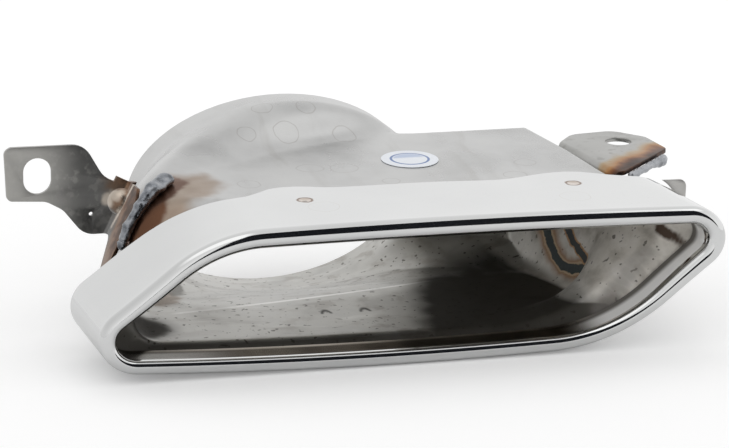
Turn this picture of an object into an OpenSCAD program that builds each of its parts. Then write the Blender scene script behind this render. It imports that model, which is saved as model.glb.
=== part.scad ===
// Exhaust trim cover: a polished trim band with a rolled lip round a leaning mouth,
// a pressed funnel that runs back to an oval collar, and two welded fixing brackets.
// Millimetres. +X along the mouth, +Y into the car, +Z up, resting on lip and collar.

/* [Mouth and lip] */
// width of the mouth's outline along its bottom, corner point to corner point
mouth_w = 249; // [235:1:270]
// height of the lip's outline in its middle
mouth_h = 61.7; // [56:0.1:68]
// how far the top edge is shifted to the right of the bottom edge
mouth_lean = 74.2; // [54:0.2:82]
// fall of the top edge towards its ends, over half the mouth's width
bow_top = 2.2; // [0:0.1:3]
// rise of the bottom edge towards its ends, over half the mouth's width
bow_bottom = 3.8; // [0:0.1:4.5]
// outer radius of the two pointed corners, bottom left and top right
corner_r = 15.5; // [13:0.5:19]
// outer radius of the open corner, top left
shoulder_r = 62; // [30:1:70]
// outer radius of the open corner, bottom right
chin_r = 80; // [40:1:86]
// radius of the rolled lip
lip_r = 4.5; // [3.5:0.25:5]
// depth of the return behind the lip, measured from the lip's front
return_d = 15; // [11:0.5:16]

/* [Trim band] */
// depth of the band from the lip's front to its rear edge
band_d = 49; // [40:1:56]
// extra depth of the two spot-welded tabs on the top
tab_d = 7; // [3:0.5:8]
// thickness of the polished sheet
band_t = 1.2; // [0.8:0.1:1.4]
// inward taper of the right side, in mm for each mm of depth
taper_right = 0.2; // [0.1:0.01:0.24]
// outward drift of the left side, in mm for each mm of depth
drift_left = 0.07; // [0:0.01:0.09]
// upward slope of top and floor towards the rear, in degrees
pitch = 4.7; // [3:0.1:6]

/* [Funnel] */
// thickness of the pressed sheet
sheet_t = 1.2; // [0.8:0.1:1.4]
// clearance between the funnel's top and the band above it
lap_gap = 0.15; // [0.1:0.05:0.3]
// height of the step from the band's bottom up to the funnel's floor
floor_step = 6.8; // [5.5:0.1:9]
// place of the funnel's top right edge where it leaves the band
box_right = 103; // [94:1:108]
// radius of the funnel's top right edge
box_r = 3.5; // [2.5:0.5:8]
// depth at which the box-like right part ends
box_d = 129; // [120:1:132]

/* [Collar] */
// width of the oval collar
collar_w = 131; // [120:1:138]
// height of the oval collar
collar_h = 85.2; // [80:0.5:92]
// tilt of the oval in its plane, in degrees
collar_tilt = 4; // [0:0.5:7]
// sideways place of the collar's centre
collar_x = -26.5; // [-32:0.5:-20]
// depth of the collar's open end
collar_d = 157; // [152:1:175]
// depth at which the funnel has become the collar
neck_d = 141; // [137:1:146]

/* [Brackets and welds] */
// thickness of the left bracket's strip
left_t = 2; // [1.5:0.25:3]
// height of the left bracket's plate
left_h = 23; // [19:0.5:27]
// width of the slot in the left plate
slot_w = 12; // [8:0.5:13]
// length of that slot, upwards
slot_l = 15.5; // [13:0.5:17]
// thickness of the right bracket's strip
right_t = 2; // [1.5:0.25:3]
// diameter of the hole in the right plate
hole_d = 11.5; // [8:0.5:14]
// thickness of the weld beads
bead = 4; // [3:0.25:5]
// diameter of the round label
label_d = 25; // [20:1:30]

/* [Hidden] */
steel = [0.80, 0.81, 0.82];
plate = [0.50, 0.49, 0.47];
weld = [0.40, 0.41, 0.44];
paper = [0.90, 0.92, 0.96];
dull = [0.62, 0.62, 0.61];
slope = tan(pitch);
clear = 0.15;

// smooth step from 0 to 1
function blend(f) = let (c = max(0, min(1, f))) c * c * (3 - 2 * c);

// points of every ring: four corners of arc_n points, four sides of side_n points
arc_n = 8;
side_n = 10;
ring_n = 4 * (arc_n + side_n);

// corner arcs of a leaning outline: centre x, centre z, radius and start angle
// corners run bottom left, bottom right, top right, top left
function corners(xl, xr, zb, zt, lean, rs) =
    let (a = atan2(zt - zb, lean), ta = 1 / tan(a / 2), to = tan(a / 2), h = lean / 2)
    [[xl - h + rs[0] * ta, zb + rs[0], rs[0], 90 + a, 180 - a],
     [xr - h - rs[1] * to, zb + rs[1], rs[1], 270, a],
     [xr + h - rs[2] * ta, zt - rs[2], rs[2], a - 90, 180 - a],
     [xl + h + rs[3] * to, zt - rs[3], rs[3], 90, a]];

// one ring of points at depth y, moved inward by d
function arc_pt(c, d, y, f) =
    let (a = c[3] + c[4] * f, r = c[2] - d) [c[0] + r * cos(a), y, c[1] + r * sin(a)];
function ring(cs, d, y) = [for (k = [0:3]) let (c = cs[k], n = cs[(k + 1) % 4])
    each concat([for (j = [0:arc_n - 1]) arc_pt(c, d, y, j / (arc_n - 1))],
        [for (j = [1:side_n]) let (f = j / (side_n + 1))
            arc_pt(c, d, y, 1) * (1 - f) + arc_pt(n, d, y, 0) * f])];

// closed skin through rings that run out along one face and back along the other
module skin(rings) {
    m = len(rings);
    pts = [for (r = rings) each r];
    faces = [for (i = [0:m - 1]) for (k = [0:ring_n - 1])
        let (i2 = (i + 1) % m, k2 = (k + 1) % ring_n,
            a = i * ring_n + k, b = i2 * ring_n + k, c = i2 * ring_n + k2, d = i * ring_n + k2)
        each norm(pts[a] - pts[c]) < norm(pts[b] - pts[d]) ? [[a, c, b], [a, d, c]]
            : [[a, d, b], [b, d, c]]];
    polyhedron(points = pts, faces = faces, convexity = 10);
}

// outline of the band at depth y, sheared upwards and tapered with depth
half_w = mouth_w / 2;
radii = [corner_r, chin_r, corner_r, shoulder_r];
function band_at(y) = let (v = max(0, y - lip_r))
    corners(-half_w - drift_left * v, half_w - taper_right * v, slope * v, mouth_h + slope * v,
        mouth_lean, radii);

// bow of the top and bottom edges: a point's height is moved by a share w of it
function bow(p, w) = let (u = p[0] / half_w,
    s = max(0, min(1, (p[2] - slope * max(0, p[1] - lip_r)) / mouth_h)))
    p + [0, 0, w * u * u * (bow_bottom * (1 - s) - bow_top * s)];
function bowed(ps, w) = [for (p = ps) bow(p, w)];

// rear edge of the band, with the two tabs on the top side
tab_x = [[-125, 0], [-100, -0.5], [-84, -0.6], [-62, -0.2], [-50, 0.95], [-38, 1], [-24, 0.4],
    [20, 0.3], [50, 0.1], [66, 0.8], [76, 1.15], [86, 1.1], [98, 0.3], [112, -0.3], [126, -0.6]];
function rear_y(p) = band_d
    + tab_d * lookup(p[0], tab_x) * blend((p[2] / mouth_h - 0.55) / 0.35);
function rear_ring(d) = [for (p = ring(band_at(band_d), d, band_d)) let (y = rear_y(p))
    bow([p[0], y, p[2] + (y - band_d) * slope], 1)];

// trim band: return, rolled lip and outer band, one sheet turned over at the front
roll_n = 8;
module trim_band() {
    inner = 2 * lip_r;
    face = concat([[inner, return_d], [inner, (return_d + lip_r) / 2]],
        [for (j = [0:roll_n]) let (a = 180 * j / roll_n)
            [lip_r + lip_r * cos(a), lip_r - lip_r * sin(a)]],
        [[0, 12], [0, 24], [0, 36]]);
    r2 = lip_r - band_t;
    back = concat([[band_t, 36], [band_t, 24], [band_t, 12]],
        [for (j = [0:roll_n]) let (a = 180 * j / roll_n)
            [lip_r - r2 * cos(a), lip_r - r2 * sin(a)]],
        [[inner - band_t, (return_d + lip_r) / 2], [inner - band_t, return_d]]);
    color(steel) skin(concat([for (q = face) bowed(ring(band_at(q[1]), q[0], q[1]), 1)],
        [rear_ring(0), rear_ring(band_t)],
        [for (q = back) bowed(ring(band_at(q[1]), q[0], q[1]), 1)]));
}

// funnel outline at a depth: sides set by the band in front and by the box behind
top_z = mouth_h - band_t - lap_gap;
function funnel_corners(y) =
    let (v = y - lip_r, step = blend((y - 15) / 7), box = blend((y - 18) / 36),
        neck = blend((y - band_d + 3) / 13),
        zb = 3 + (floor_step - 3) * step + slope * v,
        zt = top_z - 1.6 * (1 - blend((y - 14) / 12)) + slope * v,
        front_in = 3 + 9 * step,
        h = zt - zb,
        lean_f = mouth_lean * h / mouth_h,
        s = front_in / sin(atan2(mouth_h, mouth_lean)),
        lean = lean_f * (1 - box) + 18 * box,
        fl = -half_w - drift_left * v + s * (1 - box) + 3.5 * box,
        fr = half_w - taper_right * v - s,
        br = box_right - taper_right * (y - band_d - 4) - lean / 2)
    corners(fl + (lean_f - lean) * 0.25 * box, fr * (1 - box) + br * box, zb, zt, lean,
        [corner_r - 3 + 2 * box, chin_r * (1 - box) + 12 * box - 3,
            (corner_r - 3) * (1 - box) + box_r * box,
            (shoulder_r - 2) * (1 - neck) + 26 * neck]);

// oval collar, placed so that its lowest point is on the ground
ra = collar_w / 2;
rb = collar_h / 2;
collar_z = sqrt(pow(ra * sin(collar_tilt), 2) + pow(rb * cos(collar_tilt), 2));
function oval(t, y) = let (a = t - collar_tilt, u = ra * cos(a), w = rb * sin(a))
    [collar_x + u * cos(collar_tilt) - w * sin(collar_tilt), y,
     collar_z + u * sin(collar_tilt) + w * cos(collar_tilt)];

// angle round the oval for each ring point: corner arcs, then sides
// the top side turns slowly over the box, then quickly over the collar
arc_from = [202, 300, 356, 488];
arc_to = [240, 326, 366, 518];
angles = [for (k = [0:3]) each concat(
    [for (j = [0:arc_n - 1]) arc_from[k] + (arc_to[k] - arc_from[k]) * j / (arc_n - 1)],
    [for (j = [1:side_n]) let (f = j / (side_n + 1), n = k == 3 ? 562 : arc_from[k + 1])
        arc_to[k] + (n - arc_to[k]) * (k == 2 ? 0.58 * f + 0.42 * f * f : f)])];

// depth at which each side starts to turn into the collar
turn_at = [[0, 0.97], [30, 0.96], [45, 0.92], [60, 0.85], [75, 0.75], [90, 0.63], [105, 0.5],
    [120, 0.38], [135, 0.26], [150, 0.16], [165, 0.07], [180, 0.02], [200, 0],
    [225, 0], [270, 0.15], [300, 0.4], [330, 0.85], [345, 0.97], [360, 0.97]];
blend_from = band_d + 6;
function turn_start(t) = blend_from + (box_d - blend_from) * lookup(t % 360, turn_at);

function funnel_ring(y) = let (w = 1 - blend((y - band_d - tab_d - 1) / 40),
    q = bowed(ring(funnel_corners(min(y, neck_d)), 0, y), w))
    [for (k = [0:ring_n - 1]) let (a = angles[k],
        f = blend((y - turn_start(a)) / (neck_d - turn_start(a))))
        q[k] * (1 - f) + oval(a, y) * f];

// inner face: every point moved in by the sheet's thickness, square to the face
function unit(v) = v / norm(v);
function inner_rings(rs, t) = let (m = len(rs)) [for (i = [0:m - 1]) [for (k = [0:ring_n - 1])
    let (a = rs[min(m - 1, i + 1)][k] - rs[max(0, i - 1)][k],
        b = rs[i][(k + 1) % ring_n] - rs[i][(k + ring_n - 1) % ring_n],
        n = unit(cross(a, b)))
    rs[i][k] - t * (i == 0 || i == m - 1 ? unit([n[0], 0, n[2]]) : n)]];

// funnel: front flange, step, flat top and floor, box-like right part and oval collar
funnel_y = concat([12.5, 15, 17, 18.5, 20, 22, 26, 31, 37, 44, 52, 60, 69, 78, 87, 96, 104, 111,
    117, 121], [for (j = [1:7]) box_d + (neck_d - box_d) * j / 7], [(neck_d + collar_d) / 2, collar_d]);
module funnel_shell() {
    out = [for (y = funnel_y) funnel_ring(y)];
    back = inner_rings(out, sheet_t);
    m = len(out);
    color(dull) skin(concat(out, [for (i = [m - 1:-1:0]) back[i]]));
}

// a point on the funnel's outer face, lifted off it by a distance
function wall_pt(k, y, off) = let (p = funnel_ring(y)[k],
    a = funnel_ring(y + 1)[k] - funnel_ring(y - 1)[k],
    b = funnel_ring(y)[k + 1] - funnel_ring(y)[k - 1])
    p + off * unit(cross(a, b));

// weld bead: a lumpy round run along a path of [point, radius], closed at both ends
bead_n = 12;
function bead_pt(path, i, f) = path[i][0] * (1 - f) + path[i + 1][0] * f;
function bead_rad(path, i, f) = (path[i][1] * (1 - f) + path[i + 1][1] * f) * (1 - 0.16 * sin(180 * f));
function bead_ring(p, t, r) = let (u = unit(cross(t, [0.3, 0.2, 1])), v = cross(t, u))
    [for (k = [0:bead_n - 1]) p + r * (cos(360 * k / bead_n) * u + sin(360 * k / bead_n) * v)];
module bead_line(path) {
    m = len(path);
    steps = concat([for (i = [0:m - 2]) for (f = [0, 0.34, 0.67])
        [bead_pt(path, i, f), bead_rad(path, i, f)]], [path[m - 1]]);
    n = len(steps);
    dirs = [for (i = [0:n - 1]) unit(steps[min(n - 1, i + 1)][0] - steps[max(0, i - 1)][0])];
    a = steps[0];
    b = steps[n - 1];
    rings = concat([bead_ring(a[0] - dirs[0] * a[1] * 0.6, dirs[0], a[1] * 0.6)],
        [for (i = [0:n - 1]) bead_ring(steps[i][0], dirs[i], steps[i][1])],
        [bead_ring(b[0] + dirs[n - 1] * b[1] * 0.6, dirs[n - 1], b[1] * 0.6)]);
    q = len(rings);
    pts = concat([for (r = rings) each r],
        [a[0] - dirs[0] * a[1] * 0.85, b[0] + dirs[n - 1] * b[1] * 0.85]);
    faces = concat([for (i = [0:q - 2]) for (k = [0:bead_n - 1]) let (k2 = (k + 1) % bead_n)
        each [[i * bead_n + k, (i + 1) * bead_n + k2, i * bead_n + k2],
              [i * bead_n + k, (i + 1) * bead_n + k, (i + 1) * bead_n + k2]]],
        [for (k = [0:bead_n - 1]) [q * bead_n, k, (k + 1) % bead_n]],
        [for (k = [0:bead_n - 1]) [q * bead_n + 1, (q - 1) * bead_n + (k + 1) % bead_n,
            (q - 1) * bead_n + k]]);
    polyhedron(points = pts, faces = faces, convexity = 6);
}

// rounded outline from corner points with a radius each
function fillet(a, b, c, r, n) = let (u = unit(a - b), v = unit(c - b), h = acos(u * v) / 2,
    m = b + unit(u + v) * r / sin(h), p = b + u * r / tan(h) - m, q = b + v * r / tan(h) - m,
    t = atan2(p[0] * q[1] - p[1] * q[0], p * q))
    [for (j = [0:n]) let (w = t * j / n)
        m + [p[0] * cos(w) - p[1] * sin(w), p[0] * sin(w) + p[1] * cos(w)]];
function rounded(pts, n = 6) = let (m = len(pts)) [for (i = [0:m - 1]) each
    let (b = pts[i], a = pts[(i + m - 1) % m], c = pts[(i + 1) % m])
    fillet([a[0], a[1]], [b[0], b[1]], [c[0], c[1]], b[2], n)];

// left bracket: flange laid on the funnel's left wall, plate square to the depth
lref = wall_pt(60, 64, clear + 0.2);
lean_l = 26.9;
plate_y = 84;
bend_r = 1.5;
slot_at = [-35.0, 18.8];
left_edge = [[-8.7, 90, 1], [-9.5, 78, 6], [-23, 68, 4], [-23.5, 60, 2], [-4.3, 60.3, 12],
    [2.9, 62.2, 12], [10, 64.6, 8], [15, 71, 3], [14.4, 90, 1]];
left_plate = [[4, -8, 0.5], [-5.4, -7.6, 1], [-15.6, -7.6, 9], [-24.4, 3.6, 9], [-31.5, 7.6, 8],
    [-48.2, 8.6, 2.5], [-48.6, 8.6 + left_h * 0.5, 1], [-49.0, 8.6 + left_h - 1.6, 3],
    [-46.2, 8.6 + left_h, 3], [-14.8, 8.6 + left_h - 0.3, 9], [-5.2, 14.2, 11], [8, 14.2, 0.5]];
module left_profile() {
    o = bend_r + left_t;
    polygon(concat([[0, 50], [left_t, 50]],
        [for (j = [0:6]) let (a = j * 15) [o - bend_r * cos(a), plate_y - bend_r + bend_r * sin(a)]],
        [[90, plate_y], [90, plate_y + left_t]],
        [for (j = [0:6]) let (a = 90 - j * 15) [o - o * cos(a), plate_y - bend_r + o * sin(a)]]));
}
module left_bracket() color(plate) translate([lref[0], 0, lref[2]]) difference() {
    union() {
        intersection() {
            rotate([0, lean_l, 0]) rotate([0, 0, 180]) mirror([0, 1, 0])
                translate([0, 0, -70]) linear_extrude(140) left_profile();
            union() {
                translate([0, 100, 0]) rotate([90, 0, 0]) linear_extrude(18)
                    polygon(rounded(left_plate));
                rotate([0, lean_l, 0]) translate([-left_t - bend_r, 0, 0]) rotate([0, -90, 180])
                    mirror([0, 1, 0]) translate([0, 0, -left_t - 2 * bend_r])
                    linear_extrude(left_t * 2 + bend_r * 2 + 1) polygon(rounded(left_edge));
            }
        }
        // gusset pressed into the bend
        rotate([0, lean_l, 0]) intersection() {
            translate([-left_t - 0.2, plate_y + 0.3, 5.5]) sphere(r = 5.8, $fn = 32);
            translate([-left_t - 7, plate_y - 7, -2]) cube([7, 7.5, 16]);
        }
    }
    // slot and small locating hole through the plate
    for (dz = [-1, 1]) translate([slot_at[0], 100, slot_at[1] + dz * (slot_l - slot_w) / 2])
        rotate([90, 0, 0]) cylinder(d = slot_w, h = 30, $fn = 48);
    translate([slot_at[0] - slot_w / 2, 70, slot_at[1] - (slot_l - slot_w) / 2])
        cube([slot_w, 30, slot_l - slot_w]);
    translate([-12.4, 100, 1.2]) rotate([90, 0, 0]) cylinder(d = 1.8, h = 30, $fn = 24);
}
left_path = [[63, 56.8, 0.95], [62, 57.2, 1.2], [61, 57.7, 1.05], [60, 58.4, 1.2], [59, 59.4, 1.05],
    [58, 61.5, 1.25], [57, 64.6, 1.15], [56, 68.5, 1.45], [55, 73.5, 1.4]];
module left_bracket_weld() color(weld)
    bead_line([for (p = left_path) let (r = bead / 2 * p[2])
        [wall_pt(p[0], p[1] + 0.7, r + clear), r]]);

// right bracket: flange down the funnel's right wall, pierced plate standing out on top
rref = wall_pt(36, 80, 0);
turn_r = 12.6;
lean_r = 19.3;
plate_z = 4.2;
right_plate = [[-4, -24.5, 0.5], [6, -24.5, 2], [41, -2.5, 4], [42, 17, 7], [33, 31.5, 9],
    [13, 33.5, 9], [-4, 20, 0.5]];
right_edge = [[-1, -22, 0.5], [-1, 17, 0.5], [-14, 17, 3], [-42, 8, 12], [-42, -10, 12],
    [-14, -22, 3]];
module right_place() translate([rref[0], rref[1], rref[2]]) rotate([pitch, 0, 0])
    rotate([0, 0, turn_r]) translate([clear + 0.55, 0, 0]) children();
module right_profile() {
    c = cos(lean_r);
    q = sin(lean_r);
    o = bend_r + right_t;
    polygon(concat([[90, plate_z - right_t], [90, plate_z]],
        [for (j = [0:8]) let (a = 90 + j * (90 - lean_r) / 8)
            [right_c[0] + o * cos(a), right_c[1] + o * sin(a)]],
        [[right_c[0] - o * c - 60 * q, right_c[1] + o * q - 60 * c],
            [right_c[0] - bend_r * c - 60 * q, right_c[1] + bend_r * q - 60 * c]],
        [for (j = [0:8]) let (a = 180 - lean_r - j * (90 - lean_r) / 8)
            [right_c[0] + bend_r * cos(a), right_c[1] + bend_r * sin(a)]]));
}
right_c = let (o = bend_r + right_t, z = plate_z - o)
    [o / cos(lean_r) + z * tan(lean_r), z];
module right_bracket() color(plate) right_place() difference() {
    intersection() {
        translate([0, 60, 0]) rotate([90, 0, 0]) linear_extrude(120) right_profile();
        union() {
            translate([0, 0, -8]) linear_extrude(20) polygon(rounded(right_plate));
            rotate([0, lean_r, 0]) rotate([0, -90, 0]) translate([0, 0, -9])
                linear_extrude(14) polygon(rounded(right_edge));
        }
    }
    translate([27, 15.7, -10]) cylinder(d = hole_d, h = 20, $fn = 48);
}
// place along the plate's front edge, drop below its top, share of the bead's size
right_path = [[2, 2.2, 0.9], [6.5, 2.6, 1], [11, 2.3, 0.9], [15.5, 2.7, 0.95], [20, 2.3, 0.9],
    [24, 2.5, 1.0], [27.5, 2.7, 1.25], [30.5, 2.6, 1.35], [33, 2.2, 1.1]];
edge_a = [right_plate[1][0], right_plate[1][1]];
edge_u = unit([right_plate[2][0], right_plate[2][1]] - edge_a);
module right_bracket_weld() color(weld) right_place()
    bead_line([for (p = right_path) let (r = bead / 2 * p[2],
        q = edge_a + p[0] * edge_u + (r + clear) * [edge_u[1], -edge_u[0]])
        [[q[0], q[1], plate_z - p[1]], r]]);

// small tab standing off the band's right corner, with its tack weld
tab_y = band_d - 7;
tab_cs = let (c = band_at(tab_y + 0.75)[2]) bow([c[0], tab_y, c[1]], 1);
tab_shape = [[7, 0, 0.5], [18.9, 1, 2], [19.5, 13.4, 3], [2, 13.6, 0.5], [2, 6, 0.5]];
module right_tab() color(plate) difference() {
    translate([tab_cs[0], tab_y + 1.5, tab_cs[2]]) rotate([90, 0, 0]) linear_extrude(1.5)
        polygon(rounded(tab_shape));
    translate([tab_cs[0], tab_y - 5, tab_cs[2] - 5.7 * slope]) rotate([pitch - 90, 0, 0])
        cylinder(r = corner_r + 0.4, h = 14, $fn = 96);
}
module right_tab_weld() color(weld)
    bead_line([for (a = [1, 7, 13, 19]) let (r = bead * 0.3, d = corner_r + r + 0.4)
        [[tab_cs[0] + d * cos(a), tab_y + 1.5 + r + 0.1, tab_cs[2] + d * sin(a)], r]]);

// round label on the funnel's flat top
label_at = [20.1, 88.6];
module label() color(paper)
    translate([label_at[0], label_at[1], top_z + slope * (label_at[1] - lip_r) + 0.08])
        rotate([pitch, 0, 0]) cylinder(d = label_d, h = 0.3, $fn = 96);

// the origin is the middle of the part's footprint, on the ground
right_end = rref[0] + max([for (p = rounded(right_plate))
    (p[0] + clear + 0.55) * cos(turn_r) - p[1] * sin(turn_r)]);
left_end = lref[0] + min([for (p = rounded(left_plate)) p[0]]);
frame_x = (left_end + right_end) / 2;
frame_y = collar_d / 2;
module placed() translate([-frame_x, -frame_y, 0]) children();
placed() trim_band();
placed() funnel_shell();
placed() left_bracket();
placed() left_bracket_weld();
placed() right_bracket();
placed() right_bracket_weld();
placed() right_tab();
placed() right_tab_weld();
placed() label();
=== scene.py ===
import math
import bpy
import numpy as np
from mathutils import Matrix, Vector


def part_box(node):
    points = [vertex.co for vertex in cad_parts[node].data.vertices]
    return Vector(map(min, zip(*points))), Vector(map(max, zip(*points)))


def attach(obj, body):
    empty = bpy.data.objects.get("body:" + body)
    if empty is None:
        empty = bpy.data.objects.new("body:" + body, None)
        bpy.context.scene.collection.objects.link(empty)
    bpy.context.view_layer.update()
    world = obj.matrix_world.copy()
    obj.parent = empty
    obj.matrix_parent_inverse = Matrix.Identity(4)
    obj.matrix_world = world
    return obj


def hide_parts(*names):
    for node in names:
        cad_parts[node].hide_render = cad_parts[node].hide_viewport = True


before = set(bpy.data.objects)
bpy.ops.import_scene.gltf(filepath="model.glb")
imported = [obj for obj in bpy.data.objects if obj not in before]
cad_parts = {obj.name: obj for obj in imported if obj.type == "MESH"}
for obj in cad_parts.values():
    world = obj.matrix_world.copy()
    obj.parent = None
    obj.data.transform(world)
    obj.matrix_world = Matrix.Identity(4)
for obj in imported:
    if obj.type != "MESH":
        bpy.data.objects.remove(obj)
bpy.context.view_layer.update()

# Trim band. A strip of polished stainless steel, bent to the leaning mouth and rolled over
# at the front into a round lip with a short return. Two tabs at its rear top edge are
# spot-welded to the funnel below.
MM = 0.001
mouth_w, mouth_h, mouth_lean = 249, 61.7, 74.2
bow_top, bow_bottom = 2.2, 3.8
corner_r, shoulder_r, chin_r = 15.5, 62, 80
lip_r, return_d = 4.5, 15
band_d, tab_d, band_t = 49, 7, 1.2
taper_right, drift_left = 0.2, 0.07
slope = math.tan(math.radians(4.7))
half_w = mouth_w / 2
radii = [corner_r, chin_r, corner_r, shoulder_r]
arc_n, side_n = 22, 30
label_x = 20.1

# the shape's own zero, in millimetres of the frame: label's middle and lip's front
label_lo, label_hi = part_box("label")
shift_x = (label_lo[0] + label_hi[0]) / 2 / MM - label_x
shift_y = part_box("trim_band")[0][1] / MM


def blend(f):
    """Smooth step from 0 to 1."""
    c = max(0.0, min(1.0, f))
    return c * c * (3 - 2 * c)


def curve_through(table, x):
    """Smooth curve through (x, value) pairs, flat beyond the ends."""
    xs = [p[0] for p in table]
    vs = [p[1] for p in table]
    if x <= xs[0] or x >= xs[-1]:
        return vs[0] if x <= xs[0] else vs[-1]
    i = max(j for j in range(len(xs) - 1) if xs[j] <= x)

    def tangent(j):
        if j == 0 or j == len(xs) - 1:
            return 0.0
        return (vs[j + 1] - vs[j - 1]) / (xs[j + 1] - xs[j - 1])

    w = xs[i + 1] - xs[i]
    t = (x - xs[i]) / w
    return ((2 * t**3 - 3 * t**2 + 1) * vs[i] + (t**3 - 2 * t**2 + t) * w * tangent(i)
            + (3 * t**2 - 2 * t**3) * vs[i + 1] + (t**3 - t**2) * w * tangent(i + 1))


def corners(xl, xr, zb, zt, lean, rs):
    """Corner arcs of a leaning outline: centre x, z, radius, start and turn in radians."""
    a = math.atan2(zt - zb, lean)
    tight, wide, h = 1 / math.tan(a / 2), math.tan(a / 2), lean / 2
    return [(xl - h + rs[0] * tight, zb + rs[0], rs[0], math.pi / 2 + a, math.pi - a),
            (xr - h - rs[1] * wide, zb + rs[1], rs[1], math.pi * 1.5, a),
            (xr + h - rs[2] * tight, zt - rs[2], rs[2], a - math.pi / 2, math.pi - a),
            (xl + h + rs[3] * wide, zt - rs[3], rs[3], math.pi / 2, a)]


def ring(cs, d, y):
    """Ring of points at depth y, moved inward by d."""
    def on_arc(c, f):
        a, r = c[3] + c[4] * f, c[2] - d
        return np.array([c[0] + r * math.cos(a), y, c[1] + r * math.sin(a)])

    pts = []
    for k, c in enumerate(cs):
        pts += [on_arc(c, j / (arc_n - 1)) for j in range(arc_n)]
        a, b = on_arc(c, 1), on_arc(cs[(k + 1) % 4], 0)
        pts += [a + (b - a) * j / (side_n + 1) for j in range(1, side_n + 1)]
    return pts


def band_at(y):
    """Corner arcs of the band's outside at depth y."""
    v = max(0, y - lip_r)
    return corners(-half_w - drift_left * v, half_w - taper_right * v, slope * v,
                   mouth_h + slope * v, mouth_lean, radii)


def bowed(points, share=1.0):
    """The outline's top and bottom edges bow outward in their middle."""
    out = []
    for p in points:
        s = (p[2] - slope * max(0, p[1] - lip_r)) / mouth_h
        s = max(0.0, min(1.0, s))
        rise = (p[0] / half_w) ** 2 * (bow_bottom * (1 - s) - bow_top * s)
        out.append(np.array([p[0], p[1], p[2] + share * rise]))
    return out


def select_only(obj):
    bpy.ops.object.select_all(action="DESELECT")
    obj.select_set(True)
    bpy.context.view_layer.objects.active = obj


def modify(obj, kind, **settings):
    """Adds a modifier and applies it."""
    select_only(obj)
    m = obj.modifiers.new(kind.title(), kind)
    for key, value in settings.items():
        setattr(m, key, value)
    bpy.ops.object.modifier_apply(modifier=m.name)


def smooth(obj, degrees=35):
    select_only(obj)
    bpy.ops.object.shade_smooth_by_angle(angle=math.radians(degrees))


def mesh_piece(name, points, faces):
    """Object from points in the shape's millimetres."""
    mesh = bpy.data.meshes.new(name)
    place = np.array([shift_x, shift_y, 0.0])
    mesh.from_pydata([tuple((np.array(p) + place) * MM) for p in points], [], faces)
    obj = bpy.data.objects.new(name, mesh)
    bpy.context.collection.objects.link(obj)
    return obj


def loft(name, rings):
    """Sheet through rings of equal length, facing outward."""
    n = len(rings[0])
    points = [p for r in rings for p in r]
    faces = [(i * n + k, (i + 1) * n + k, (i + 1) * n + (k + 1) % n, i * n + (k + 1) % n)
             for i in range(len(rings) - 1) for k in range(n)]
    return mesh_piece(name, points, faces)


def ride(obj, material_slot, *nodes):
    """Ties a piece to the body and the nodes that it stands for."""
    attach(obj, "root")
    if nodes:
        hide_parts(*nodes)


tab_x = [(-125, 0), (-100, -0.5), (-84, -0.6), (-62, -0.2), (-50, 0.95), (-38, 1), (-24, 0.4),
         (20, 0.3), (50, 0.1), (66, 0.8), (76, 1.15), (86, 1.1), (98, 0.3), (112, -0.3),
         (126, -0.6)]
tab_z, tab_rise = 0.55, 0.35
flank_end = 36


def rear_ring(share):
    """Ring between the flank's end and the rear edge, which reaches back into the tabs."""
    out = []
    for p in ring(band_at(band_d), 0, band_d):
        height = blend((p[2] / mouth_h - tab_z) / tab_rise)
        rear = band_d + tab_d * curve_through(tab_x, p[0]) * height
        out.append(np.array([p[0], rear, p[2] + (rear - band_d) * slope]))
    start = bowed(ring(band_at(flank_end), 0, flank_end))
    return [a + (b - a) * share for a, b in zip(start, bowed(out))]


roll_n = 13
roll_front = 4.1
nose_low, nose_high = 2.3, 4.3
return_rows, rear_rows = 9, 6
flank = (6.5, 9, 12, 16, 20, 24, 28, 32, flank_end)


def roll(nose):
    """Inset and depth of the rolled sheet; nose is the radius of the lip's inner quarter."""
    out = [(roll_front + nose, return_d - (return_d - nose) * j / return_rows)
           for j in range(return_rows)]
    for j in range(2 * roll_n + 1):
        turn = math.pi / 2 * j / roll_n
        r = nose if j < roll_n else roll_front
        out.append((roll_front + r * math.cos(turn), r - r * math.sin(turn)))
    return out + [(0, y) for y in flank]


def sharper_below(low, high):
    """The lip is bent tighter along its bottom edge than along its top edge."""
    out = []
    for a, b in zip(low, high):
        s = blend(a[2] / mouth_h * 1.3)
        out.append(a * (1 - s) + b * s)
    return out


def rolled_ring(inset, y):
    return bowed(ring(band_at(y), inset, y))


rolled = [sharper_below(rolled_ring(*low), rolled_ring(*high))
          for low, high in zip(roll(nose_low), roll(nose_high))]
rear = [rear_ring(j / rear_rows) for j in range(1, rear_rows + 1)]
band = loft("trim_band_sheet", rolled + rear)
# one slot for the outside, one for the return
for _ in range(2):
    band.data.materials.append(None)
for face in band.data.polygons[:len(rolled[0]) * (return_rows - 1)]:
    face.material_index = 1
modify(band, "SOLIDIFY", thickness=band_t * MM, offset=-1, use_even_offset=True)
smooth(band, 40)


class Tree:
    """A node tree, with a short form of the nodes that every finish needs."""

    def __init__(self, tree):
        self.tree = tree

    def add(self, kind, ins=None, **settings):
        node = self.tree.nodes.new(kind)
        for key, value in settings.items():
            setattr(node, key, value)
        for key, value in (ins or {}).items():
            self.put(node.inputs[key], value)
        return node

    def put(self, socket, value):
        if isinstance(value, bpy.types.NodeSocket):
            self.tree.links.new(value, socket)
        else:
            socket.default_value = value

    def math(self, operation, a, b=0.0, clamp=False):
        return self.add("ShaderNodeMath", {0: a, 1: b}, operation=operation,
                        use_clamp=clamp).outputs[0]

    def range(self, value, lo, hi, to_lo=0.0, to_hi=1.0, kind="SMOOTHSTEP"):
        return self.add("ShaderNodeMapRange", {0: value, 1: lo, 2: hi, 3: to_lo, 4: to_hi},
                        interpolation_type=kind).outputs[0]


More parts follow.
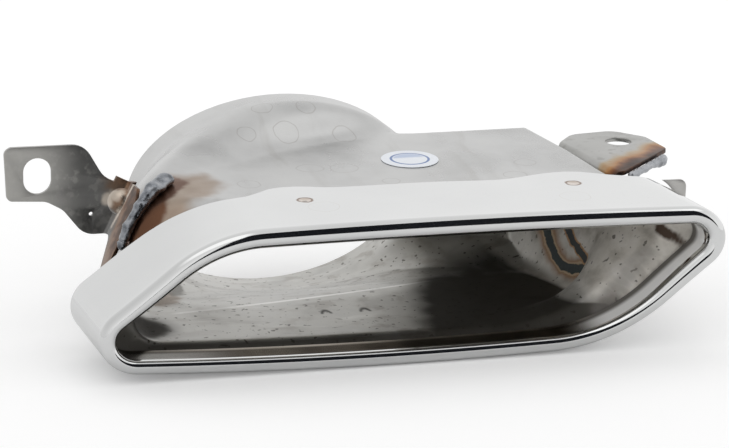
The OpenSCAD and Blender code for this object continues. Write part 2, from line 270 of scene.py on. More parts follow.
class Nodes(Tree):
    """A material's nodes, built in the order that the finish is laid on."""

    def __init__(self, name, metallic=1.0, roughness=0.3, color=(0.8, 0.8, 0.8)):
        self.mat = bpy.data.materials.new(name)
        self.mat.use_nodes = True
        super().__init__(self.mat.node_tree)
        self.bsdf = self.tree.nodes["Principled BSDF"]
        self.bsdf.inputs["Metallic"].default_value = metallic
        self.bsdf.inputs["Roughness"].default_value = roughness
        self.bsdf.inputs["Base Color"].default_value = (*color, 1)
        self.place = self.add("ShaderNodeTexCoord").outputs["Object"]

    def noise(self, scale, detail=3.0, stretch=(1, 1, 1), at=None):
        spot = self.add("ShaderNodeMapping", {"Vector": at or self.place, "Scale": stretch})
        return self.add("ShaderNodeTexNoise", {"Vector": spot.outputs[0], "Scale": scale,
                                               "Detail": detail}).outputs["Fac"]

    def ramp(self, value, stops):
        node = self.add("ShaderNodeValToRGB", {0: value})
        bar = node.color_ramp
        while len(bar.elements) < len(stops):
            bar.elements.new(0.5)
        for e, (at, color) in zip(bar.elements, stops):
            e.position, e.color = at, (*color, 1)
        return node.outputs[0]

    def mix(self, share, a, b):
        node = self.add("ShaderNodeMix", {0: share}, data_type="RGBA")
        self.put(node.inputs["A"], a if isinstance(a, bpy.types.NodeSocket) else (*a, 1))
        self.put(node.inputs["B"], b if isinstance(b, bpy.types.NodeSocket) else (*b, 1))
        return node.outputs["Result"]

    def distance(self, point, at=None):
        """Distance in mm from a point given in the frame's millimetres."""
        node = self.add("ShaderNodeVectorMath", {0: at or self.place,
                                                 1: tuple(c * MM for c in point)},
                        operation="DISTANCE")
        return self.math("MULTIPLY", node.outputs["Value"], 1 / MM)

    def near(self, points, reach, at=None):
        """1 at the points, 0 beyond their reach."""
        out = None
        for p in points:
            m = self.range(self.distance(p, at), 0.0, reach, 1.0, 0.0)
            out = m if out is None else self.math("MAXIMUM", out, m)
        return out

    def squeezed(self, at, scale):
        """The place, scaled on each axis, for marks drawn out along the depth."""
        return self.add("ShaderNodeMapping", {"Vector": at, "Scale": scale}).outputs[0]

    def track(self, points, steps, reach, at=None, scale=(1, 1, 1)):
        """1 along a line through the points, 0 beyond the reach."""
        line = []
        for a, b in zip(points, points[1:]):
            line += [tuple((a[k] + (b[k] - a[k]) * j / steps) * scale[k] for k in range(3))
                     for j in range(steps)]
        line.append(tuple(points[-1][k] * scale[k] for k in range(3)))
        return self.near(line, reach, self.squeezed(at or self.place, scale))

    def axis(self, letter, at=None):
        """One coordinate of the place, in the frame's millimetres."""
        node = self.add("ShaderNodeSeparateXYZ", {0: at or self.place})
        return self.math("MULTIPLY", node.outputs[letter], 1 / MM)

    def rings(self, points, width=0.5, at=None):
        """Thin circles, each round (x, y, z, radius)."""
        out = None
        for p in points:
            gap = self.math("ABSOLUTE", self.math("SUBTRACT", self.distance(p[:3], at), p[3]))
            m = self.range(gap, 0.0, width, 1.0, 0.0)
            out = m if out is None else self.math("MAXIMUM", out, m)
        return out

    def bent(self, scale, amount):
        """The place, pushed about a little by noise, amount in mm."""
        n = self.add("ShaderNodeTexNoise", {"Vector": self.place, "Scale": scale, "Detail": 2.0})
        off = self.add("ShaderNodeVectorMath", {0: n.outputs["Color"], 1: (0.5, 0.5, 0.5)},
                       operation="SUBTRACT")
        far = self.add("ShaderNodeVectorMath", {0: off.outputs[0]}, operation="SCALE")
        far.inputs["Scale"].default_value = amount * MM * 2
        return self.add("ShaderNodeVectorMath", {0: self.place, 1: far.outputs[0]},
                        operation="ADD").outputs[0]

    def bump(self, height, depth_mm, strength=1.0):
        node = self.add("ShaderNodeBump", {"Height": height, "Strength": strength,
                                           "Distance": depth_mm * MM})
        self.put(self.bsdf.inputs["Normal"], node.outputs[0])

    def finish(self, color=None, roughness=None):
        if color is not None:
            self.put(self.bsdf.inputs["Base Color"], color)
        if roughness is not None:
            self.put(self.bsdf.inputs["Roughness"], roughness)
        return self.mat


def cover(obj, *materials):
    """Gives the piece these materials and keeps which face has which."""
    chosen = [f.material_index for f in obj.data.polygons]
    obj.data.materials.clear()
    for m in materials:
        obj.data.materials.append(m)
    for f, k in zip(obj.data.polygons, chosen):
        f.material_index = min(k, len(materials) - 1)


polish = Nodes("polished_steel", roughness=0.06)
cloud = polish.noise(14, 4)
hair = polish.noise(900, 2, (0.06, 1, 1))
tone = polish.ramp(cloud, [(0.3, (0.72, 0.725, 0.725)), (0.7, (0.775, 0.78, 0.775))])
wobble = polish.bent(260, 0.7)
spots = [(-29.3, -41.5, 64.1), (89.2, -37.9, 63.8)]
marks = polish.rings([(-24, -52, 63, 6.2), (84.5, -56, 62.3, 6.4)], 0.3, polish.bent(90, 1.6))
tone = polish.mix(polish.math("MULTIPLY", marks, 0.3), tone, (0.60, 0.55, 0.50))
burnt = polish.near(spots, 5.6, wobble)
tone = polish.mix(polish.range(burnt, 0.15, 0.8, 0, 0.55), tone, (0.52, 0.37, 0.25))
rims = polish.rings([(*c, 3.1) for c in spots], 0.9, wobble)
tone = polish.mix(rims, tone, (0.17, 0.09, 0.05))
seam = polish.near([(-5.2, -77, 8), (-5, -75, 8.2), (-3.6, -77.5, 7)], 0.9, wobble)
tone = polish.mix(seam, tone, (0.2, 0.17, 0.14))
brushed = polish.math("ADD", polish.math("MULTIPLY", cloud, 0.7),
                      polish.math("MULTIPLY", hair, 0.3))
gloss = polish.range(brushed, 0.35, 0.65, 0.04, 0.085)
weld_dish = polish.math("MULTIPLY", polish.near(spots, 3.4), -1.0)
polish.bump(weld_dish, 0.35, 0.8)
polished_steel = polish.finish(tone, gloss)

polish = Nodes("polished_steel_return", roughness=0.12)
stain = polish.noise(40, 4, (1, 0.3, 1))
browned = polish.ramp(stain, [(0.3, (0.055, 0.045, 0.035)), (0.7, (0.14, 0.12, 0.095))])
edge = polish.range(polish.axis("Y"), -66.5, -64.6)
browned = polish.mix(edge, browned, (0.42, 0.38, 0.33))
# on the right side, and half as much at the left end, the brown gives way to painted light: a
# painted highlight along the return's front half and painted shade along its rear half
right_side = polish.range(polish.axis("X"), 72, 96)
left_end = polish.range(polish.axis("X"), -60, -105)
clear = polish.math("MAXIMUM", right_side, polish.math("MULTIPLY", left_end, 0.5))
painted_highlight_front = polish.range(polish.axis("Y"), -65.5, -69)
highlight_and_shade_tone = polish.mix(painted_highlight_front, (0.16, 0.15, 0.14), (0.86, 0.855, 0.84))
return_tone = polish.mix(clear, browned, highlight_and_shade_tone)
polish.bsdf.inputs["Specular Tint"].default_value = (0.5, 0.5, 0.5, 1)
polish.put(polish.bsdf.inputs["Metallic"], polish.range(right_side, 0, 1, 1, 0.1))
return_steel = polish.finish(return_tone, polish.range(stain, 0.3, 0.7, 0.1, 0.2))
cover(band, polished_steel, return_steel)
ride(band, "polished_steel", "trim_band")

# Funnel. A deep-drawn stainless shell, dull as it left the press, that narrows from the
# mouth to an oval collar for the muffler's outlet. Its front flange lies inside the band
# and is welded to it.
sheet_t, lap_gap, floor_step = 1.2, 0.15, 6.8
box_right, box_r, box_d = 103, 3.5, 129
collar_w, collar_h, collar_x = 131, 85.2, -26.5
collar_tilt = math.radians(4)
collar_d, neck_d = 157, 141
flange_in, wall_in, left_in = 3, 9, 3.5
step_y, step_run, box_y, box_run = 15, 7, 18, 36
top_drop, drop_y, drop_run = 1.6, 14, 12
box_lean, box_chin_r, neck_r, neck_run = 18, 12, 26, 13
top_z = mouth_h - band_t - lap_gap
half_oval_w, half_oval_h = collar_w / 2, collar_h / 2
collar_z = math.hypot(half_oval_w * math.sin(collar_tilt), half_oval_h * math.cos(collar_tilt))


def funnel_corners(y):
    """Corner arcs of the section at depth y: flange, then step, then the box-like part."""
    v = y - lip_r
    step, box = blend((y - step_y) / step_run), blend((y - box_y) / box_run)
    neck = blend((y - band_d + 3) / neck_run)
    zb = flange_in + (floor_step - flange_in) * step + slope * v
    zt = top_z - top_drop * (1 - blend((y - drop_y) / drop_run)) + slope * v
    lean_f = mouth_lean * (zt - zb) / mouth_h
    s = (flange_in + wall_in * step) / math.sin(math.atan2(mouth_h, mouth_lean))
    lean = lean_f * (1 - box) + box_lean * box
    left = -half_w - drift_left * v + s * (1 - box) + left_in * box
    left += (lean_f - lean) * 0.25 * box
    right = half_w - taper_right * v - s
    box_x = box_right - taper_right * (y - band_d - 4) - lean / 2
    rs = [corner_r - flange_in + 2 * box,
          chin_r * (1 - box) + box_chin_r * box - flange_in,
          (corner_r - flange_in) * (1 - box) + box_r * box,
          (shoulder_r - 2) * (1 - neck) + neck_r * neck]
    return corners(left, right * (1 - box) + box_x * box, zb, zt, lean, rs)


def oval(degrees, y):
    """Point of the collar's tilted oval."""
    a = math.radians(degrees) - collar_tilt
    u, w = half_oval_w * math.cos(a), half_oval_h * math.sin(a)
    return np.array([collar_x + u * math.cos(collar_tilt) - w * math.sin(collar_tilt), y,
                     collar_z + u * math.sin(collar_tilt) + w * math.cos(collar_tilt)])


# where the mouth's four corners and the sides between them end up on the oval, in degrees
arc_from, arc_to = [202, 300, 356, 488, 562], [240, 326, 366, 518]
angles = []
for k in range(4):
    angles += [arc_from[k] + (arc_to[k] - arc_from[k]) * j / (arc_n - 1) for j in range(arc_n)]
    for j in range(1, side_n + 1):
        f = j / (side_n + 1)
        share = 0.58 * f + 0.42 * f * f if k == 2 else f
        angles.append(arc_to[k] + (arc_from[k + 1] - arc_to[k]) * share)

# how far back each side stays straight before it turns toward the oval
turn_at = [(0, 0.97), (30, 0.96), (45, 0.92), (60, 0.85), (75, 0.75), (90, 0.63), (105, 0.5),
           (120, 0.38), (135, 0.26), (150, 0.16), (165, 0.07), (180, 0.02), (200, 0),
           (225, 0), (270, 0.15), (300, 0.4), (330, 0.85), (345, 0.97), (360, 0.97)]


turn_y, unbowed_run = band_d + 6, 40


def funnel_ring(y):
    """Section of the funnel at depth y, on its way from the mouth to the oval."""
    out = []
    share = 1 - blend((y - band_d - tab_d - 1) / unbowed_run)
    for p, t in zip(bowed(ring(funnel_corners(min(y, neck_d)), 0, y), share), angles):
        start = turn_y + (box_d - turn_y) * curve_through(turn_at, t % 360)
        f = blend((y - start) / (neck_d - start))
        out.append(p * (1 - f) + oval(t, y) * f)
    return out


depths = ([12.5 + 0.9 * j for j in range(12)] + [24.4 + 1.8 * j for j in range(17)]
          + [55.5 + 2.4 * j for j in range(28)] + [121.5 + 1.3 * j for j in range(16)]
          + [143, 146, 149, 152, 154.5, collar_d])
shell = loft("funnel_shell_sheet", [funnel_ring(y) for y in depths])
# one slot for the outside, one for the inside
for _ in range(2):
    shell.data.materials.append(None)
modify(shell, "SOLIDIFY", thickness=sheet_t * MM, offset=-1, use_even_offset=False,
       material_offset=1, material_offset_rim=0)
smooth(shell, 50)

dry_marks = [(-24.2, 56.2, 85.2, 5), (-4.3, 55.9, 84.2, 4.5), (-35.1, 38.8, 76.7, 4.5),
             (-16.2, 42.9, 75.4, 6), (11, 46.2, 72.9, 5.5), (-15.1, 5.8, 67, 5.6),
             (-0.7, 3.2, 66.7, 6.2), (-45.9, -10.7, 65.6, 5), (14.2, -18.7, 64.9, 4),
             (79, -2.3, 66.3, 4.6), (69.4, -18.5, 64.9, 5)]
press = Nodes("pressed_steel_outside", roughness=0.3)
flow = press.bent(60, 2.2)
cloud = press.noise(26, 5, at=flow)
draw = press.noise(110, 3, (1, 0.12, 0.5), press.bent(30, 5))
grain = press.noise(1500, 2)
tone = press.ramp(cloud, [(0.28, (0.44, 0.44, 0.435)), (0.5, (0.58, 0.58, 0.575)),
                          (0.74, (0.68, 0.68, 0.67))])
tone = press.mix(press.range(draw, 0.55, 0.75, 0, 0.35), tone, (0.42, 0.41, 0.39))
stain = press.rings(dry_marks, 0.4, press.bent(120, 1.3))
tone = press.mix(press.math("MULTIPLY", stain, 0.45), tone, (0.34, 0.32, 0.30))
plume = press.track([(-88, -21, 60), (-82, -12, 64), (-74, -8, 66)], 3, 25, press.bent(60, 8))
tone = press.mix(press.range(plume, 0.12, 0.62, 0, 0.9), tone,
                 press.ramp(cloud, [(0.35, (0.22, 0.14, 0.09)), (0.65, (0.42, 0.34, 0.27))]))
bead_toe = [(-103, -24, 43), (-97, -24, 50), (-92, -22, 56), (-88, -17, 60), (-84, -10, 64),
            (-78, -2, 67)]
toe = press.track(bead_toe, 3, 12, press.bent(110, 4))
tone = press.mix(press.range(toe, 0.15, 0.6), tone, (0.15, 0.075, 0.045))
dull = press.math("MAXIMUM", cloud, press.math("MULTIPLY", plume, 0.9))
rough = press.range(dull, 0.3, 0.8, 0.25, 0.42)
relief = press.math("ADD", cloud, press.math("MULTIPLY", draw, 0.4))
relief = press.math("ADD", press.math("MULTIPLY", grain, 0.3), relief)
press.bump(relief, 0.14, 0.4)
pressed_outside = press.finish(tone, rough)

press = Nodes("pressed_steel_inside", roughness=0.4)
flow = press.bent(45, 4)
cloud = press.noise(32, 6, at=flow)
patch = press.noise(95, 5, at=press.bent(140, 2))
streak = press.noise(95, 3, (0.22, 1, 0.6), press.bent(30, 7))
speck = press.noise(420, 1)
dash = press.noise(230, 2, (0.35, 1, 1))
across = press.axis("X")
depth = press.axis("Y")
height = press.axis("Z")
tone = press.ramp(cloud, [(0.28, (0.38, 0.375, 0.355)), (0.5, (0.58, 0.57, 0.54)),
                          (0.72, (0.74, 0.73, 0.705))])
tone = press.mix(press.range(patch, 0.52, 0.68, 0, 0.45), tone, (0.30, 0.27, 0.235))
tone = press.mix(press.range(streak, 0.56, 0.7, 0, 0.5), tone, (0.74, 0.73, 0.70))
tone = press.mix(press.range(streak, 0.44, 0.3, 0, 0.5), tone, (0.22, 0.20, 0.18))
# lighter towards the left
lighter_leftward = press.range(across, 10, -60, 0, 0.4)
tone = press.mix(lighter_leftward, tone, (0.80, 0.79, 0.765))
# the right wall took more heat: browner and duller
baked = press.range(across, 82, 96)
grime = press.ramp(patch, [(0.35, (0.42, 0.39, 0.34)), (0.5, (0.66, 0.625, 0.565)),
                          (0.66, (0.80, 0.77, 0.72))])
tone = press.mix(press.math("MULTIPLY", baked, 0.85), tone, grime)
tone = press.mix(press.range(speck, 0.665, 0.72, 0, 0.75), tone, (0.08, 0.07, 0.055))
tone = press.mix(press.range(dash, 0.70, 0.76, 0, 0.7), tone, (0.07, 0.06, 0.05))
# a painted highlight along a crease across the floor where the pressing tool's halves met
crease_highlight = press.math("SUBTRACT", press.math("ADD", depth, 4),
                    press.math("MULTIPLY", across, 0.225))
crease_highlight = press.range(press.math("ABSOLUTE", crease_highlight), 0, 1.8, 1, 0)
for value, outside, inside in ((across, -85, -76), (across, 60, 30), (height, 22, 18)):
    crease_highlight = press.math("MULTIPLY", crease_highlight, press.range(value, outside, inside))
tone = press.mix(press.math("MULTIPLY", crease_highlight, 0.85), tone, (0.93, 0.92, 0.90))
# painted shade and painted reflection of the dark inside: over the right half of the floor, on the
# step's face and in the left corner
drift = press.bent(40, 8)
flat = (1, 0.55, 1)
front = press.track([(40, -56, 10), (88, -56, 14)], 4, 34, drift, flat)
middle = press.track([(50, -22, 12), (86, -24, 15)], 3, 36, drift, flat)
back = press.track([(62, 12, 14), (80, 22, 18)], 2, 24, drift, (1, 0.5, 1))
shade_pool = press.math("MULTIPLY", press.math("MAXIMUM", front, middle), press.range(height, 19, 14))
shade_pool = press.math("MAXIMUM", shade_pool, press.math("MULTIPLY", back, 0.6))
side = press.math("ADD", across, press.math("MULTIPLY", depth, 0.25))
shade_pool = press.math("MULTIPLY", shade_pool, press.range(side, 88, 80))
corner = press.track([(-116, -56, 10), (-112, -50, 16), (-101, -40, 14)], 2, 26, press.bent(60, 4))
step = press.math("MULTIPLY", press.range(depth, -56.5, -59.5), press.range(height, 22, 13))
edges = press.math("MAXIMUM", step, press.range(corner, 0.05, 0.7))
painted_shade = press.math("MAXIMUM", press.range(shade_pool, 0.1, 0.6, 0, 0.94),
                  press.math("MULTIPLY", edges, 0.9))
# the painted shade, laid on as a near-black tint
tone = press.mix(painted_shade, tone, (0.045, 0.04, 0.032))
# the weld of the right bracket burned through to this side
warm = press.bent(220, 1.3)
loop = [(93, 12, 34), (92.6, 4, 28), (93, -3, 23.5), (94, -11, 20.8), (96.5, -21, 21.4),
        (98, -29, 24)]
branch = [(97.5, -4, 37), (98.3, -11, 32.5), (99, -18, 29.5), (99.4, -26, 27)]
halo = press.track(loop, 3, 8, warm, flat)
tone = press.mix(press.range(halo, 0.05, 0.75, 0, 0.9), tone, (0.36, 0.20, 0.10))
rim = press.track(loop, 4, 4.0, warm, flat)
tone = press.mix(press.range(rim, 0.1, 0.35), tone, (0.56, 0.42, 0.27))
core = press.track(loop, 4, 3.0, warm, flat)
tone = press.mix(press.range(core, 0.15, 0.4), tone, (0.045, 0.06, 0.06))
for reach, lo, hi, color in ((3.4, 0.1, 0.35, (0.50, 0.30, 0.15)),
                             (2.5, 0.15, 0.4, (0.05, 0.055, 0.055))):
    burn = press.track(branch, 4, reach, warm, flat)
    tone = press.mix(press.range(burn, lo, hi), tone, color)
# two small dark crescents in the floor, longer in depth than across
eye_squeeze = 0.4
eye_marks = [(-17.1, -32 * eye_squeeze, 12, 2.1), (-0.1, -32.4 * eye_squeeze, 11.9, 2.2)]
eyes = press.rings(eye_marks, 1.1, press.squeezed(press.place, (1, eye_squeeze, 1)))
eyes = press.math("MULTIPLY", eyes, press.range(depth, -31.5, -30))
tone = press.mix(eyes, tone, (0.03, 0.025, 0.02))
# heat tint and painted shade at the right end, rust and a dark fold at the left: line, its steps
# and reach, its wobble and squeeze, then where the colour starts and ends, its share and itself
plain = (1, 1, 1)
tint_and_shade_lines = [([(114, -56, 49), (122, -59, 46), (133, -66, 40)], 8, 4.5, (160, 1.5), plain,
           0.1, 0.7, 1, (0.06, 0.035, 0.02)),
          # painted shade in the corner between the floor and the right wall
          ([(94, -61, 14), (104, -61, 26), (116, -61, 38)], 4, 8, (60, 3), plain,
           0.0, 0.9, 0.6, (0.20, 0.185, 0.17)),
          ([(-84, 0, 13), (-76, 14, 12)], 3, 9, (120, 4), (1, 0.4, 1),
           0.1, 0.7, 0.7, (0.30, 0.215, 0.15)),
          ([(-72, 26, 11), (-68, 34, 11)], 3, 6, (120, 3), (1, 0.4, 1),
           0.1, 0.7, 0.7, (0.10, 0.09, 0.075))]
for points, steps, reach, wobbled, squeeze, lo, hi, share, color in tint_and_shade_lines:
    line_mask = press.track(points, steps, reach, press.bent(*wobbled), squeeze)
    tone = press.mix(press.range(line_mask, lo, hi, 0, share), tone, color)
relief = cloud
for layer, height in ((streak, 0.5), (patch, 0.5), (core, 1.6)):
    relief = press.math("ADD", relief, press.math("MULTIPLY", layer, height))
press.bump(relief, 0.3, 0.55)
press.put(press.bsdf.inputs["Metallic"], press.range(baked, 0, 1, 0.9, 0.15))
press.bsdf.inputs["Specular Tint"].default_value = (0.85, 0.85, 0.85, 1)
dull = press.math("ADD", press.math("MULTIPLY", baked, 0.3), cloud)
rough = press.range(dull, 0.3, 0.9, 0.3, 0.62)
rough = press.math("MAXIMUM", rough, press.math("MULTIPLY", painted_shade, 0.7))
pressed_inside = press.finish(tone, rough)
cover(shell, pressed_outside, pressed_inside)
ride(shell, "pressed_steel", "funnel_shell")


# Left bracket. A pressed strip of mild steel with a tall slot for the body stud, bent
# along a leaning line and stiffened by a dimple pressed into the bend.
weld_apart, flat_within = 0.00001, math.radians(1)


def copy_of(node, name, bevel_mm, degrees=35):
    """The CAD node's own mesh, joined up, with its edges eased."""
    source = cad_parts[node]
    obj = bpy.data.objects.new(name, source.data.copy())
    bpy.context.collection.objects.link(obj)
    obj.matrix_world = source.matrix_world.copy()
    select_only(obj)
    bpy.ops.object.mode_set(mode="EDIT")
    bpy.ops.mesh.select_all(action="SELECT")
    bpy.ops.mesh.remove_doubles(threshold=weld_apart)
    bpy.ops.mesh.dissolve_limited(angle_limit=flat_within)
    bpy.ops.object.mode_set(mode="OBJECT")
    bpy.ops.object.transform_apply(location=True, rotation=True, scale=True)
    if bevel_mm:
        modify(obj, "BEVEL", width=bevel_mm * MM, segments=3, limit_method="ANGLE",
               angle_limit=math.radians(degrees), harden_normals=False)
    smooth(obj, degrees)
    return obj


left = copy_of("left_bracket", "left_bracket_strip", 0.35)
strip = Nodes("bracket_steel_left", roughness=0.36)
flow = strip.bent(80, 3)
cloud = strip.noise(60, 5, at=flow)
mottle = strip.noise(300, 4)
tone = strip.ramp(cloud, [(0.3, (0.10, 0.10, 0.096)), (0.7, (0.215, 0.212, 0.205))])
tone = strip.mix(strip.range(mottle, 0.5, 0.66, 0, 0.6), tone, (0.27, 0.265, 0.25))
far_end = strip.range(strip.axis("X"), -112, -136, 0, 0.8)
tone = strip.mix(far_end, tone, (0.50, 0.49, 0.465))
heat = strip.track([(-101, -15, 42), (-99, -13, 52), (-95, -8, 60), (-90, 0, 69)], 3, 21,
                   strip.bent(90, 5))
heat = strip.math("MULTIPLY", heat, strip.range(mottle, 0.2, 0.7, 0.7, 1.1))
heat_color = strip.ramp(heat, [(0.0, (0.20, 0.18, 0.16)), (0.3, (0.19, 0.135, 0.10)),
                               (0.55, (0.25, 0.155, 0.10)), (0.75, (0.15, 0.085, 0.055)),
                               (1.0, (0.08, 0.05, 0.035))])
tone = strip.mix(strip.range(heat, 0.05, 0.35), tone, heat_color)
# painted highlights: lighter where the gusset and the ridge of the bend catch the light
gusset_highlight = strip.near([(-101, 3, 61), (-103.5, 4.5, 58.5), (-99, 1, 63)], 5, strip.bent(200, 1.5))
ridge_highlight = strip.track([(-93.5, 0, 65.5), (-97, 0.5, 59), (-100, 1, 52.5), (-102, 2, 47)], 4, 2.6,
                    strip.bent(160, 1.2))
gusset_highlight = strip.math("MAXIMUM", gusset_highlight, strip.math("MULTIPLY", ridge_highlight, 0.8))
tone = strip.mix(strip.range(gusset_highlight, 0.1, 0.7, 0, 0.75), tone, (0.70, 0.62, 0.53))
strip.bump(strip.math("ADD", cloud, strip.math("MULTIPLY", mottle, 0.4)), 0.1, 0.5)
cover(left, strip.finish(tone, strip.range(cloud, 0.3, 0.7, 0.3, 0.45)))
# kept out of mirrors: its image in the band would be far larger than on the real one
left.visible_glossy = False
ride(left, "bracket_steel", "left_bracket")

# Left weld. A hand-laid bead along the bracket's front edge, lumpy, grey-blue where it
# froze and brown at its toes.
left_weld = copy_of("left_bracket_weld", "left_bracket_bead", 0)
bead = Nodes("weld_metal", roughness=0.3)
lump = bead.noise(260, 3)
tone = bead.ramp(lump, [(0.28, (0.09, 0.095, 0.105)), (0.5, (0.27, 0.285, 0.31)),
                        (0.68, (0.46, 0.47, 0.49)), (0.85, (0.22, 0.14, 0.09))])
silver = bead.range(bead.axis("X"), 60, 100)
tone = bead.mix(bead.math("MULTIPLY", silver, 0.35), tone, (0.60, 0.61, 0.63))
bead.bump(lump, 0.6, 0.9)
weld_metal = bead.finish(tone, bead.range(lump, 0.3, 0.7, 0.22, 0.42))


def round_bead(obj):
    """Gives a bead its metal and rounds its facets."""
    cover(obj, weld_metal)
    modify(obj, "SUBSURF", levels=1, render_levels=1)
    select_only(obj)
    bpy.ops.object.shade_smooth()


def swell(obj, share, top_share, top_z):
    """Fattens a bead round its own line, more above top_z, where the welder stopped."""
    slice_h, run = 2.2, 6
    at = np.array([v.co for v in obj.data.vertices])
    for v, p in zip(obj.data.vertices, at):
        middle = at[np.abs(at[:, 2] - p[2]) < slice_h * MM].mean(axis=0)
        more = share + (top_share - share) * blend((p[2] / MM - top_z) / run)
        v.co = Vector(middle + (p - middle) * more)


swell(left_weld, 1.2, 1.55, 60)
round_bead(left_weld)
ride(left_weld, "weld_metal", "left_bracket_weld")

# Right bracket. An angle of the same strip, its flange laid down the funnel's wall and its
# pierced plate standing out on top.
right = copy_of("right_bracket", "right_bracket_angle", 0.35)
strip = Nodes("bracket_steel_right", roughness=0.34)
cloud = strip.noise(55, 5, at=strip.bent(70, 3))
tone = strip.ramp(cloud, [(0.3, (0.38, 0.38, 0.365)), (0.7, (0.52, 0.515, 0.50))])
fine = strip.noise(260, 3)
tone = strip.mix(strip.range(fine, 0.56, 0.7, 0, 0.45), tone, (0.27, 0.26, 0.245))
seam = [(114, -22, 62), (121, -17, 64), (129, -10, 64.8), (137, -3, 65.4), (146, 5, 66)]
heat = strip.track(seam, 3, 19, strip.bent(110, 5))
heat_color = strip.ramp(heat, [(0.0, (0.47, 0.46, 0.44)), (0.35, (0.48, 0.38, 0.26)),
                               (0.65, (0.44, 0.23, 0.10)), (0.85, (0.20, 0.085, 0.04)),
                               (1.0, (0.05, 0.035, 0.03))])
tone = strip.mix(strip.range(heat, 0.1, 0.4), tone, heat_color)
strip.bump(strip.math("ADD", cloud, strip.math("MULTIPLY", fine, 0.4)), 0.1, 0.5)
cover(right, strip.finish(tone, strip.range(cloud, 0.3, 0.7, 0.28, 0.42)))
ride(right, "bracket_steel", "right_bracket")

right_weld = copy_of("right_bracket_weld", "right_bracket_bead", 0)
round_bead(right_weld)
ride(right_weld, "weld_metal", "right_bracket_weld")

# Small tab on the band's right corner, cut from strip and tacked on behind the lip.
tab = copy_of("right_tab", "right_tab_plate", 0.3)
strip = Nodes("bracket_steel_tab", roughness=0.3)
cloud = strip.noise(80, 4)
tone = strip.ramp(cloud, [(0.3, (0.50, 0.49, 0.47)), (0.7, (0.62, 0.61, 0.59))])
cover(tab, strip.finish(tone))
ride(tab, "bracket_steel", "right_tab")
tack = copy_of("right_tab_weld", "right_tab_tack", 0)
round_bead(tack)
ride(tack, "weld_metal", "right_tab_weld")

# Label. A round film label stuck on the flat top, printed with a plain ring and a plain
# field above its middle.
label = copy_of("label", "label_disc", 0.08, 60)
film = Nodes("label_film", metallic=0.0, roughness=0.35)
mid = [(a + b) / 2 / MM for a, b in zip(label_lo, label_hi)]
ring_r = 8.2
from_mid = film.distance(mid)
from_ring = film.math("ABSOLUTE", film.math("SUBTRACT", from_mid, ring_r))
edge = film.range(from_ring, 0.35, 0.75, 1, 0)
inside_ring = film.range(from_mid, ring_r - 0.6, ring_r - 1.3)
above = film.range(film.axis("Y"), mid[1] + 0.5, mid[1] + 3.5)
upper = film.math("MULTIPLY", inside_ring, above)
tone = film.mix(film.math("MULTIPLY", upper, 0.6), (0.80, 0.83, 0.88), (0.22, 0.33, 0.58))
tone = film.mix(edge, tone, (0.12, 0.2, 0.42))
cover(label, film.finish(tone))
ride(label, "label_film", "label")

# Studio. A pale floor under a white surround, one soft lamp behind, a tall black card in
# front that draws the dark line on the polished lip, and a long lens.
floor_size, floor_gap = 9.0, 0.0002
floor_white, floor_lift = 0.86, 0.2
bpy.ops.mesh.primitive_plane_add(size=floor_size, location=(0, 0, -floor_gap))
floor = bpy.context.object
floor.name = "floor"
ground = Nodes("floor_paint", metallic=0.0, roughness=0.7, color=(floor_white,) * 3)
ground.bsdf.inputs["Specular IOR Level"].default_value = 0.0
seen = ground.add("ShaderNodeLightPath")
lift = ground.math("MULTIPLY", seen.outputs["Is Camera Ray"], floor_lift)
ground.put(ground.bsdf.inputs["Emission Strength"], lift)
ground.bsdf.inputs["Emission Color"].default_value = (1, 1, 1, 1)
cover(floor, ground.mat)

card_r, card_n = 2.6, 24
card_low, card_rise, rise_n = 2.4, 2.7, 6
card_from, card_to = math.radians(-3), math.radians(46)
card_points, card_faces = [], []
for j in range(card_n + 1):
    turn = card_from + (card_to - card_from) * j / card_n
    x, y = card_r * math.sin(turn), -card_r * math.cos(turn)
    card_points += [(x, y, 0.0), (x, y, card_low + card_rise * blend(j / rise_n))]
for j in range(card_n):
    card_faces.append((2 * j, 2 * j + 2, 2 * j + 3, 2 * j + 1))
card_mesh = bpy.data.meshes.new("black_card")
card_mesh.from_pydata(card_points, [], card_faces)
card = bpy.data.objects.new("black_card", card_mesh)
bpy.context.collection.objects.link(card)
card.visible_camera = False
card.visible_diffuse = False
card.visible_shadow = False
velvet = Nodes("black_card", metallic=0.0, roughness=1.0, color=(0.012, 0.013, 0.016))
velvet.bsdf.inputs["Specular IOR Level"].default_value = 0.0
cover(card, velvet.mat)

world = bpy.data.worlds.new("studio")
bpy.context.scene.world = world
world.use_nodes = True
backdrop = world.node_tree.nodes["Background"]
backdrop.inputs["Color"].default_value = (1, 1, 1, 1)
room = Tree(world.node_tree)
path = room.add("ShaderNodeLightPath").outputs
direct = room.math("MAXIMUM", path["Is Camera Ray"], path["Is Glossy Ray"])
direct = room.math("MAXIMUM", direct, path["Is Transmission Ray"])
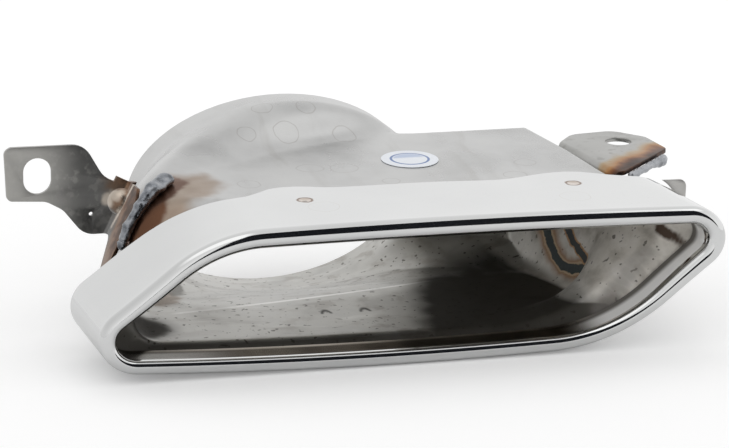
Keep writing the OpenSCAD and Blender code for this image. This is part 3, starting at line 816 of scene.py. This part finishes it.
# mirrors see a room that is a little darker overhead and to the left
generated = room.add("ShaderNodeTexCoord").outputs["Generated"]
way = room.add("ShaderNodeSeparateXYZ", {0: generated}).outputs
overhead = room.range(way["Z"], 0.25, 1.0, 0.98, 0.78, "LINEAR")
sideways = room.range(way["X"], -0.9, 0.0, 0.76, 1.0, "LINEAR")
mirrored = room.math("MULTIPLY", overhead, sideways)
# two softboxes high in front, left and right, whiten the lip above its dark line
left_box = room.math("MULTIPLY", room.range(way["X"], 0.14, 0.02),
                     room.range(way["X"], -0.6, -0.4))
boxes = room.math("MAXIMUM", left_box, room.range(way["X"], 0.29, 0.4))
boxes = room.math("MULTIPLY", boxes, room.range(way["Z"], 0.70, 0.86))
boxes = room.math("MULTIPLY", boxes, room.range(way["Y"], 0.15, -0.05))
box_glow, diffuse_light = 0.45, 0.86
mirrored = room.math("ADD", mirrored, room.math("MULTIPLY", boxes, box_glow))
seen_straight = room.math("MAXIMUM", path["Is Camera Ray"], mirrored)
strength = room.range(direct, 0.0, 1.0, diffuse_light, seen_straight, "LINEAR")
room.put(backdrop.inputs["Strength"], strength)

key_across, key_watts = 1.2, 3.5
key_data = bpy.data.lights.new("key", "AREA")
key_data.shape, key_data.size, key_data.energy = "DISK", key_across, key_watts
key = bpy.data.objects.new("key", key_data)
bpy.context.collection.objects.link(key)
key.location = (0.3, 1.0, 1.6)
key_target = Vector((0, 0, 0.03))
key.rotation_euler = (key_target - key.location).to_track_quat("-Z", "Y").to_euler()
key.visible_glossy = False

camera_data = bpy.data.cameras.new("camera")
camera = bpy.data.objects.new("camera", camera_data)
bpy.context.collection.objects.link(camera)
bpy.context.scene.camera = camera
camera_data.sensor_width, camera_data.lens, camera_data.clip_end = 36, 181.5, 20
aim_left, aim_z = 24, 61.3
aim = Vector((shift_x - aim_left, shift_y, aim_z)) * MM
azimuth, elevation, reach = math.radians(-15.04), math.radians(13.17), 1.5
away = Vector((math.sin(azimuth) * math.cos(elevation), -math.cos(azimuth) * math.cos(elevation),
               math.sin(elevation)))
camera.location = aim + away * reach
camera.rotation_euler = (-away).to_track_quat("-Z", "Y").to_euler()

bpy.context.scene.view_settings.view_transform = "Standard"
